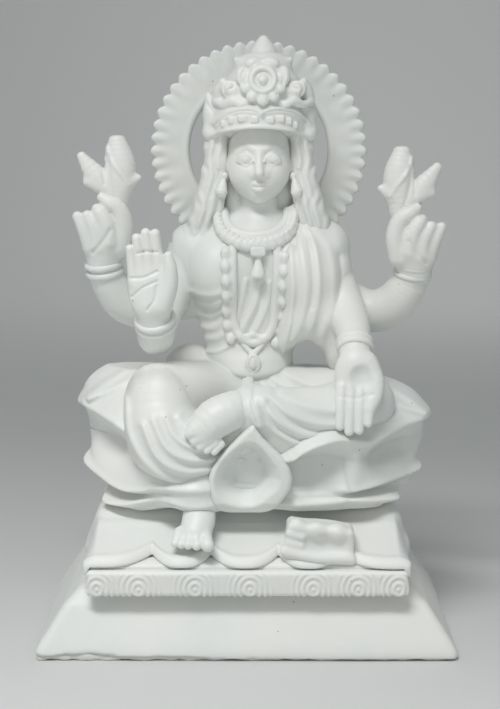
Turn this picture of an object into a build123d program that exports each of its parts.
"""A four-armed Hindu deity statue: a seated figure on a lotus, a cloth-covered slab and a hollow plinth.

Millimetres, +Z up, the origin at the centre of the plinth's underside. The figure faces -Y.
Left and right are those of someone who looks at the figure's face: left is -X.
The castings are glued together on spigots, face to face, and nothing on the statue moves.
"""

import math
import os

from build123d import *

# ---- driving dimensions ----
HEIGHT = 200.0  # underside to the tip of the crown and the halo's top tooth
PLINTH_WIDTH, PLINTH_DEPTH, PLINTH_TOP = 138.0, 86.0, 24.0
PLINTH_FLARE = 16.0  # how far each side leans in from the foot to the top
PLINTH_WALL = 8.0
BACKFILL_LIP = 1.6  # thickness of the poured layer that shows under the plinth
SLAB_WIDTH, SLAB_FRONT, SLAB_BACK, SLAB_TOP = 103.0, -38.5, 34.0, 31.0
CLOTH_THICK = 3.0
SEAT_X = 3.0  # the lotus and the figure sit a little right of the plinth's centre
BOWL_BASE, BOWL_TOP = 43.0, 76.0
HEAD_X, HEAD_Y, HEAD_Z = 4.3, 5.0, 158.5
HEAD_HALF = (11.8, 11.4, 13.8)
HALO_Z, HALO_Y, HALO_OUTER, HALO_INNER, HALO_THICK = 162.2, 20.5, 36.0, 23.4, 3.4
HALO_TEETH = 50
SPIGOT_R, SPIGOT_LENGTH, SPIGOT_GAP = 1.6, 4.0, 0.1
CRUMB = 1.0  # mm3: a smaller offcut than this is dropped after a fit

made = {}


# ---- shape helpers ----
def route_sections(stations, across):
    """Circles (x, y, z, r) or ellipses (x, y, z, r_across, r_other), square to the route through them."""
    points = [Vector(*s[:3]) for s in stations]
    sections = []
    for i, s in enumerate(stations):
        along = points[min(i + 1, len(points) - 1)] - points[max(i - 1, 0)]
        plane = Plane(origin=points[i], x_dir=across, z_dir=along)
        sections.append(plane * (Circle(s[3]) if len(s) == 4 else Ellipse(s[3], s[4])))
    return sections


def limb(stations, across=(0, 1, 0)):
    """A smooth rod of changing thickness through the stations."""
    return loft(route_sections(stations, across))


def level_loft(stations):
    """Level ellipses (x, y, z, half_x, half_y), joined from the bottom up."""
    return loft([Pos(x, y, z) * Ellipse(rx, ry) for x, y, z, rx, ry in stations])


def ball(at, half):
    """An ellipsoid, or a sphere where half is one number."""
    if isinstance(half, (int, float)):
        return Pos(*at) * Sphere(half)
    return Pos(*at) * scale(Sphere(1), by=half)


def rod(start, end, radius):
    """A round rod from start to end."""
    route = Vector(*end) - Vector(*start)
    from_start = (Align.CENTER, Align.CENTER, Align.MIN)
    return Plane(origin=start, z_dir=route) * Cylinder(radius, route.length, align=from_start)


def fit(raw, *neighbours):
    """raw with its neighbours' space cut out of it, and without the crumbs that this leaves."""
    for other in neighbours:
        raw = raw - other
    kept = [s for s in raw.solids() if s.volume > CRUMB]
    return Compound(children=kept) if len(kept) > 1 else kept[0]


def parts_named(*names):
    return [made[name] for name in names]


def keep(name, shape):
    """Files a finished sub-part under its name."""
    made[name] = shape
    return shape


def spigot(socket_part, start, end):
    """A locating peg from start to end, and socket_part with its socket bored: (peg, bored part)."""
    reach = (Vector(*end) - Vector(*start)).normalized() * SPIGOT_GAP
    return rod(start, end, SPIGOT_R), socket_part - rod(start, Vector(*end) + reach, SPIGOT_R + SPIGOT_GAP)


# ---- plinth and slab ----
def plinth_outer():
    half_x, half_y = PLINTH_WIDTH / 2, PLINTH_DEPTH / 2
    levels = [(0, 0.0), (3.0, 0.0), (17.0, PLINTH_FLARE * 0.62), (PLINTH_TOP, PLINTH_FLARE)]
    rings = [
        Pos(0, 0, z) * RectangleRounded(2 * (half_x - inset), 2 * (half_y - inset * 0.72), 3.0)
        for z, inset in levels
    ]
    return loft(rings, ruled=True)


def make_plinth():
    cavity_x, cavity_y = PLINTH_WIDTH - 4 * PLINTH_WALL, PLINTH_DEPTH - 4 * PLINTH_WALL
    rim = Pos(0, 0, BACKFILL_LIP / 2) * Box(PLINTH_WIDTH + 2, PLINTH_DEPTH + 2, BACKFILL_LIP)
    cavity_plan = RectangleRounded(cavity_x, cavity_y, 5)
    cavity = Pos(0, 0, BACKFILL_LIP) * extrude(cavity_plan, PLINTH_TOP - PLINTH_WALL)
    shell = plinth_outer() - rim - cavity
    keep("plinth", shell)
    lip = extrude(RectangleRounded(PLINTH_WIDTH, PLINTH_DEPTH, 3), BACKFILL_LIP)
    keep("base_backfill", lip + cavity)


def make_slab():
    depth, middle = SLAB_BACK - SLAB_FRONT, (SLAB_BACK + SLAB_FRONT) / 2
    slab_plan = RectangleRounded(SLAB_WIDTH, depth, 2.5)
    keep("rug", Pos(0.5, middle, PLINTH_TOP) * extrude(slab_plan, SLAB_TOP - PLINTH_TOP))
    low, high, band_depth = 21.6, 29.2, 2.4
    middle_z = (low + high) / 2
    band_front = SLAB_FRONT - band_depth
    band = Pos(0.5, SLAB_FRONT - band_depth / 2, middle_z) * Box(SLAB_WIDTH - 1, band_depth, high - low)
    for x in range(-42, 43, 14):
        band = band + Pos(0.5 + x, band_front + 0.1, middle_z) * (Rot(90, 0, 0) * Cylinder(2.7, 1.0))
    keep("rug_border", fit(band, made["plinth"]))
    half = SLAB_WIDTH / 2 - 1
    lobe_y = -37.0
    sheet_plan = Rectangle(2 * half, SLAB_BACK - lobe_y)
    sheet = Pos(0.5, (SLAB_BACK + lobe_y) / 2, SLAB_TOP) * extrude(sheet_plan, CLOTH_THICK)
    lobe_width = 2 * half / 5
    for i in range(5):
        x = 0.5 - half + lobe_width * (i + 0.5)
        sheet = sheet + Pos(x, lobe_y + 0.5, SLAB_TOP) * extrude(Ellipse(lobe_width / 2, 5.6), CLOTH_THICK)
    keep("scalloped_cloth", sheet)


def make_pedestal():
    low = SLAB_TOP + CLOTH_THICK
    block = Pos(0.5, 12, low) * extrude(RectangleRounded(104, 44, 8), 6)
    waist = level_loft([(SEAT_X, 10, low + 6, 46, 21), (SEAT_X, 8, BOWL_BASE + 0.5, 40, 22)])
    keep("seat_pedestal", block + waist)


def make_casket():
    low = SLAB_TOP + CLOTH_THICK
    foot = Pos(24, -35.5, low) * RectangleRounded(20, 10, 1.5)
    top = Pos(23.5, -34.5, low + 11) * RectangleRounded(21, 11.5, 2.2)
    keep("offering_casket", loft([foot, top]))


# ---- lotus seat ----
def make_bowl():
    bowl = level_loft(
        [
            (SEAT_X, 6, BOWL_BASE + 0.5, 36, 20),
            (SEAT_X, 3, 52, 43, 26),
            (SEAT_X, 2, 64, 47, 30),
            (SEAT_X, 2, BOWL_TOP, 47, 31),
        ]
    )
    keep("lotus_bowl", bowl)


def petal(angle, root, tip, half_width, thickness, lift):
    """A pointed petal from root to tip, each (share of the seat's half sizes, z).

    lift bows its middle outwards.
    """
    half_x, half_y = 60.0, 38.5
    away = math.radians(angle)
    across = (math.cos(away), math.sin(away), 0)
    stations = []
    for t, width in ((0, 0.62), (0.3, 0.95), (0.6, 1.0), (0.85, 0.6), (1, 0.12)):
        share = root[0] + (tip[0] - root[0]) * t + lift * math.sin(math.pi * t)
        z = root[1] + (tip[1] - root[1]) * t
        x = SEAT_X + half_x * share * math.sin(away)
        y = 1.5 - half_y * share * math.cos(away)
        thick = thickness * (1 - 0.6 * t)
        stations.append((x, y, z, half_width * width, thick))
    return loft(route_sections(stations, across))


def make_petals():
    bowl = made["lotus_bowl"]
    near = [bowl, made["seat_pedestal"]]
    front = fit(petal(0, root=(0.86, 48), tip=(1.02, 77), half_width=13.5, thickness=2.4, lift=0.05), bowl)
    keep("petal_front", front)
    near.append(front)
    rows = {
        "petals_upper": ((23, 47, 78, 110, 145, 180), ((0.80, 50), (1.0, 78), 10.0, 2.2, 0.04)),
        "petals_middle": ((60, 92, 127, 162), ((0.78, 45.5), (0.97, 57), 9.5, 2.0, 0.06)),
        "petals_lower": ((52, 84, 118, 150), ((0.62, 44.5), (0.86, 46), 8.5, 1.4, -0.03)),
    }
    for row, (angles, shape) in rows.items():
        finished = []
        for angle in [*angles, *(-a for a in angles if a != 180)]:
            raw = petal(angle, *shape)
            piece = largest(fit(raw, *(s for s in near if touching(raw, s))))
            near.append(piece)
            finished.append(piece)
        keep(row, Compound(children=finished))


def touching(a, b):
    """Whether two solids' boxes meet."""
    p, q = a.bounding_box(), b.bounding_box()
    low_a, high_a, low_b, high_b = (tuple(corner) for corner in (p.min, p.max, q.min, q.max))
    return all(low_a[i] < high_b[i] and low_b[i] < high_a[i] for i in range(3))


def largest(shape):
    return max(shape.solids(), key=lambda s: s.volume)


# ---- seated figure ----
def mirrored(stations, centre):
    """The same stations on the other side of a vertical plane at x = centre."""
    return [(2 * centre - s[0], *s[1:]) for s in stations]


def make_lap():
    hips = ball((SEAT_X - 1, 8, 83), (25, 16, 9))
    left_thigh = limb([(-6, 6, 84, 10.5), (-19, -8, 84, 11), (-29, -19, 85.5, 10), (-31, -24, 85.5, 6)])
    right_thigh = limb([(10, 6, 84, 10.5), (26, -5, 83, 10.5), (39, -14, 81, 9.5), (45, -19, 80, 5)])
    seat = parts_named("lotus_bowl", "petal_front", "petals_upper", "petals_middle")
    keep("lap_drapery", largest(fit(hips + left_thigh + right_thigh, *seat)))


def make_legs():
    seat = parts_named("lotus_bowl", "petal_front", "petals_upper", "petals_middle", "lap_drapery")
    hanging = limb([(-30, -22, 82, 9.5), (-29, -25, 74, 10), (-25, -27, 64, 9), (-18, -28, 54, 7)])
    hanging = keep("hanging_leg", largest(fit(hanging, *seat)))
    shin = [(42, -19, 77, 7.5), (30, -26, 76.5, 7.5), (15, -29, 77, 6.8), (0, -29, 78, 5.6)]
    folded = limb(shin, across=(0, 0, 1))
    folded = keep("folded_leg", largest(fit(folded, *seat, hanging)))
    foot = limb(
        [
            (0.5, -29.5, 77.5, 5.2, 5.6),
            (-7, -32.5, 76.5, 4.6, 6.4),
            (-15, -34.5, 74.5, 3.4, 5.8),
            (-20, -35, 73, 1.8, 3.6),
        ],
        across=(0, 1, 0.2),
    )
    foot = keep("folded_foot", largest(fit(foot, *seat, hanging, folded)))
    sole = SLAB_TOP + CLOTH_THICK
    ankle = limb(
        [
            (-18, -28, 53, 5.4),
            (-17.5, -31, 45, 6),
            (-17.5, -34.5, 39.5, 6.4),
            (-17.5, -39, 36.5, 5.6),
            (-17.5, -42, 35.5, 2.6),
        ],
        across=(1, 0, 0),
    )
    below = Pos(-17.5, -35, sole - 10) * Box(40, 40, 20)
    under_seat = parts_named("lotus_bowl", "petal_front", "petals_upper", "petals_middle", "petals_lower")
    keep("hanging_foot", largest(fit(ankle, below, *under_seat, hanging)))
    sash = limb(
        [(0, -3, 92, 3.2, 1.6), (1.5, -15, 90, 3.4, 1.6), (4, -27, 85, 3.4, 1.6), (8, -35, 79, 2.6, 1.4)],
        across=(1, 0, 0),
    )
    keep("waist_sash", largest(fit(sash, *seat, folded, foot)))


def make_torso():
    trunk = level_loft(
        [
            (2, 7, 88, 16, 11),
            (2, 7, 95, 14.4, 9.8),
            (2.5, 7, 104, 15.6, 10),
            (3, 6.5, 113, 18.5, 10.5),
            (3.6, 6.5, 122, 21.5, 10.5),
            (4, 7.5, 129, 22.5, 9),
            (4.2, 8, 133.5, 17, 8),
            (4.3, 7.5, 137, 8, 7),
        ]
    )
    neck = level_loft([(4.3, 7.0, 134, 7.4, 7), (4.3, 6.5, 141, 6, 6), (4.3, 6, 150, 6.4, 6.2)])
    bust = [ball((x, -2.5, 119.5), (8.2, 7.6, 8)) for x in (-9, 15.5)]
    torso = trunk + neck
    for breast in bust:
        torso = torso + breast
    torso = largest(fit(torso, made["lap_drapery"], made["waist_sash"]))
    peg, made["lap_drapery"] = spigot(made["lap_drapery"], (2, 8, 93), (2, 8, 93 - 2 * SPIGOT_LENGTH))
    keep("torso", torso + peg)


def make_head():
    skull = ball((HEAD_X, HEAD_Y, HEAD_Z), HEAD_HALF)
    jaw = ball((HEAD_X, HEAD_Y - 3.5, HEAD_Z - 7), (6.4, 6.2, 6.2))
    nose = ball((HEAD_X, HEAD_Y - HEAD_HALF[1], HEAD_Z - 3), (1.5, 1.8, 3))
    head = largest(fit(skull + jaw + nose, made["torso"]))
    neck_top = 150
    start, end = (HEAD_X, 6, neck_top + 1), (HEAD_X, 6, neck_top - SPIGOT_LENGTH)
    peg, made["torso"] = spigot(made["torso"], start, end)
    keep("head", head + peg)


def make_crown():
    head = made["head"]
    x = HEAD_X + 0.2
    band = level_loft([(x, 5, 167.5, 15, 12.4), (x, 5, 172, 16.5, 13.2), (x, 5, 177, 15.4, 12.6)])
    horn = [(x + 15.5, 4, 168, 2.6), (x + 16.6, 4, 174, 3.0), (x + 18, 4, 181, 0.8)]
    band = band + limb(horn) + limb(mirrored(horn, x))
    keep("crown_band", largest(fit(band, head)))
    cap = level_loft(
        [
            (4.6, 5, 177, 13.6, 11.6),
            (4.8, 5.4, 183, 12.4, 10.6),
            (5, 6, 189, 9.6, 8.4),
            (5.2, 6.5, 193.5, 6.2, 6),
        ]
    )
    keep("crown_cap", largest(fit(cap, head, made["crown_band"])))
    spike = [(5.2, 6.5, 193.5, 5.4), (5.3, 6.8, 196, 4.4), (5.4, 7, 198.5, 2.2), (5.4, 7, HEIGHT, 0.5)]
    finial = limb(spike, across=(1, 0, 0))
    keep("crown_finial", largest(fit(finial, made["crown_cap"])))
    facing = Plane(origin=(5.2, -5.2, 185.6), x_dir=(1, 0, 0), z_dir=(0, -1, 0))
    rosette = facing * Cylinder(4.2, 6.4)
    for turn in range(0, 360, 45):
        rosette = rosette + facing * (Rot(0, 0, turn) * Pos(5.4, 0, 0) * Cylinder(2.6, 4.6))
    keep("crown_rosette", largest(fit(rosette, made["crown_cap"], made["crown_band"])))


def make_hair():
    near = parts_named("head", "torso", "crown_band", "crown_cap")
    left = [
        (-6.6, 7, 169, 3.4),
        (-8.2, 6, 160, 3.8),
        (-10.4, 5, 150, 4.4),
        (-13.6, 5, 141, 4.8),
        (-16.5, 5, 134, 3.6),
    ]
    keep("hair_left", largest(fit(limb(left), *near)))
    keep("hair_right", largest(fit(limb(mirrored(left, HEAD_X)), *near)))
    back = level_loft(
        [
            (HEAD_X, 14, 131, 11, 4),
            (HEAD_X, 13.5, 145, 10.5, 5),
            (HEAD_X, 12, 158, 10.5, 5.8),
            (HEAD_X, 11.5, 168, 9.5, 5),
        ]
    )
    keep("hair_back", largest(fit(back, *near, made["hair_left"], made["hair_right"])))


def make_halo():
    tooth_radius = math.pi * HALO_OUTER / HALO_TEETH / 2
    profile = Circle(HALO_OUTER) - Circle(HALO_INNER)
    profile = profile + [loc * Circle(tooth_radius) for loc in PolarLocations(HALO_OUTER, HALO_TEETH)]
    face = Plane(origin=(HEAD_X, HALO_Y + HALO_THICK / 2, HALO_Z), x_dir=(1, 0, 0), z_dir=(0, -1, 0))
    ring = fit(extrude(face * profile, HALO_THICK), made["torso"], made["hair_back"])
    peg_z = HALO_Z - HALO_INNER - 6
    start, end = (HEAD_X, HALO_Y, peg_z), (HEAD_X, 12, peg_z)
    peg, made["torso"] = spigot(made["torso"], start, end)
    made["hair_back"] = largest(fit(made["hair_back"], rod(start, end, SPIGOT_R + SPIGOT_GAP)))
    keep("halo", ring + peg)


def make_rear_arms():
    arm = [
        (-13, 15, 124, 5.6),
        (-25, 15, 113, 6.6),
        (-35, 13, 107.5, 7.2),
        (-43.5, 10, 109.5, 7.2),
        (-47.5, 7, 115, 6.2),
        (-48.7, 5.6, 120, 5.2),
    ]
    hand = [(-48.6, 5.4, 122.6, 4.8), (-48, 4.5, 130, 7.0), (-47, 4, 137, 6.0), (-44.6, 3.5, 143.5, 3.2)]
    bud = [(-44.8, 3.4, 141, 3.2), (-41, 3.2, 151, 5.6), (-40.6, 3, 158, 5.0), (-42.4, 3, 167.5, 2.0)]
    leaf = [(-43, 3.2, 150, 3.2), (-49, 2.6, 155, 3.8), (-55, 2, 161, 1.4)]
    wrist = [(-48.7, 5.5, 121.2)]
    root, socket_end = [(-19, 14.5, 117.5)], [(-13, 11, 119)]
    mirror_x = 4.9
    for side in ("left", "right"):
        if side == "right":
            arm, hand, bud, leaf, wrist, root, socket_end = (
                mirrored(route, mirror_x) for route in (arm, hand, bud, leaf, wrist, root, socket_end)
            )
        shaped = largest(fit(limb(arm), *parts_named("torso", "hair_back", "halo")))
        peg, made["torso"] = spigot(made["torso"], root[0], socket_end[0])
        shaped = keep(f"rear_arm_{side}", largest(shaped + peg))
        grip = keep(f"rear_hand_{side}", largest(fit(limb(hand), shaped)))
        keep(f"lotus_bud_{side}", largest(fit(limb(bud) + limb(leaf), grip)))
        ring = Plane(origin=wrist[0], z_dir=(0.05, -0.2, 1)) * Torus(5.6, 1.3)
        keep(f"rear_bangle_{side}", largest(fit(ring, shaped, grip)))


def fingers(knuckles, tips, radius):
    """Four tapered fingers from a row of knuckles to their tips."""
    made_fingers = []
    for (x0, y0, z0), (x1, y1, z1) in zip(knuckles, tips):
        middle = ((x0 + x1) / 2, (y0 + y1) / 2 + 0.3, (z0 + z1) / 2, radius)
        route = [(x0, y0, z0, radius), middle, (x1, y1, z1, radius * 0.62)]
        made_fingers.append(limb(route, across=(1, 0, 0)))
    return made_fingers


def make_front_arms():
    near = (
        "torso",
        "lap_drapery",
        "hair_left",
        "hair_right",
        "rear_arm_left",
        "rear_arm_right",
        "hanging_leg",
    )
    left = [
        (-17.5, 7, 130, 6.4),
        (-23, 4, 121, 6.8),
        (-27, -1, 110, 6.6),
        (-28.5, -7, 104, 6.6),
        (-29, -14, 104, 6.8),
        (-29.4, -20, 107.5, 6.2),
    ]
    arm = keep("front_arm_left", largest(fit(limb(left, (1, 0, 0)), *parts_named(*near))))
    palm = [(-29.4, -22, 110.5, 5.6, 4.4), (-30.6, -25, 117, 7.0, 3.8), (-31, -26.4, 124.5, 7.0, 3.0)]
    hand = limb(palm, across=(1, 0, 0))
    knuckles = [(-35.8 + 3.2 * i, -26.3, 123.5) for i in range(4)]
    tips = [(-37.6 + 3.4 * i, -27, z) for i, z in enumerate((134, 138, 139.6, 138.8))]
    thumb = limb([(-25.6, -25.5, 117, 2.4), (-23.6, -27, 124, 2.1), (-24.4, -28, 130.5, 1.5)], (1, 0, 0))
    for finger in [thumb, *fingers(knuckles, tips, 1.8)]:
        hand = hand + finger
    keep("blessing_hand", largest(fit(hand, arm)))
    right = [
        (25, 7, 129, 6.2),
        (30, 4, 120, 6.6),
        (34, -1, 110.5, 6.4),
        (35.6, -8, 105, 6.0),
        (36.3, -15, 102.5, 5.2),
        (36.4, -20, 100, 4.4),
    ]
    arm = keep("front_arm_right", largest(fit(limb(right, (1, 0, 0)), *parts_named(*near))))
    palm = [(36.4, -21.5, 98.6, 4.6, 4.2), (36.3, -25, 92, 6.6, 3.6), (36.2, -27.5, 85.5, 6.6, 2.8)]
    hand = limb(palm, across=(1, 0, 0))
    knuckles = [(31.6 + 3.1 * i, -27.6, 86) for i in range(4)]
    tips = [(31.4 + 3.1 * i, -31.2, z) for i, z in enumerate((73.5, 72, 72.6, 75))]
    thumb = limb([(41.5, -25, 92, 2.2), (43.4, -27, 87, 2.0), (43.2, -28.4, 82, 1.4)], (1, 0, 0))
    for finger in [thumb, *fingers(knuckles, tips, 1.7)]:
        hand = hand + finger
    seat = ("lap_drapery", "folded_leg", "petals_upper", "petals_middle")
    keep("giving_hand", largest(fit(hand, arm, *parts_named(*seat))))
    cuffs = {
        "left": ((-29.5, -20.4, 109), (0, -0.55, 0.83), 6.6, "blessing_hand"),
        "right": ((36.4, -20.2, 100.2), (0, 0.75, 0.66), 5.2, "giving_hand"),
    }
    for side, (at, along, radius, hand_name) in cuffs.items():
        cuff = Plane(origin=at, z_dir=along) * Torus(radius, 1.4)
        near_cuff = parts_named(f"front_arm_{side}", hand_name, "lap_drapery")
        keep(f"front_bangle_{side}", largest(fit(cuff, *near_cuff)))


def make_pallu():
    near = (
        "torso",
        "lap_drapery",
        "front_arm_right",
        "rear_arm_right",
        "hair_right",
        "hair_back",
        "waist_sash",
    )
    shoulder = ball((22.5, 5, 127), (8, 12.2, 11))
    breast = ball((24, 0.5, 115), (8.6, 13.8, 15))
    side = ball((20, 2, 101), (8.4, 13.5, 12))
    keep("sari_pallu", largest(fit(shoulder + breast + side, *parts_named(*near))))


def make_jewellery():
    body = parts_named("torso", "sari_pallu", "head", "hair_left", "hair_right", "lap_drapery", "waist_sash")
    half = [(-7.2, 4, 140, 2.2), (-6.6, -0.5, 135, 2.8), (-2, -2.2, 131.4, 3.4)]
    collar = largest(fit(limb([*half, (4.3, -2.6, 130, 3.8), *mirrored(half, HEAD_X)[::-1]]), *body))
    keep("collar_necklace", collar)
    keep("collar_pendant", largest(fit(ball((4.2, -4.6, 124.8), (2.6, 2.6, 3.4)), *body, collar)))
    strand = [
        (-5.5, -4.8, 125.6, 1.8),
        (-6.8, -10.0, 119.5, 1.8),
        (-6.6, -6.0, 110, 1.8),
        (-4.2, -4.2, 102, 1.8),
    ]
    mala = limb([*strand, (2.6, -3.8, 97, 2.2), *mirrored(strand, 2.8)[::-1]])
    keep("long_mala", largest(fit(mala, *body, collar, made["collar_pendant"])))
    keep("mala_pendant", largest(fit(ball((2.2, -4.6, 92), (2.2, 2.8, 4)), *body, made["long_mala"])))
    drops = [ball((HEAD_X + side * 11.8, -1.2, 149), (1.9, 2.4, 2.8)) for side in (-1, 1)]
    keep("earrings", Compound(children=[largest(fit(d, *body, collar)) for d in drops]))


if __name__ == "__main__":
    steps = (
        make_plinth, make_slab, make_pedestal, make_casket, make_bowl, make_petals, make_lap,
        make_legs, make_torso, make_head, make_crown, make_hair, make_halo, make_rear_arms,
        make_front_arms, make_pallu, make_jewellery,
    )
    for step in steps:
        step()
    os.makedirs("parts", exist_ok=True)
    for name, shape in made.items():
        export_step(shape, f"parts/{name}.step")
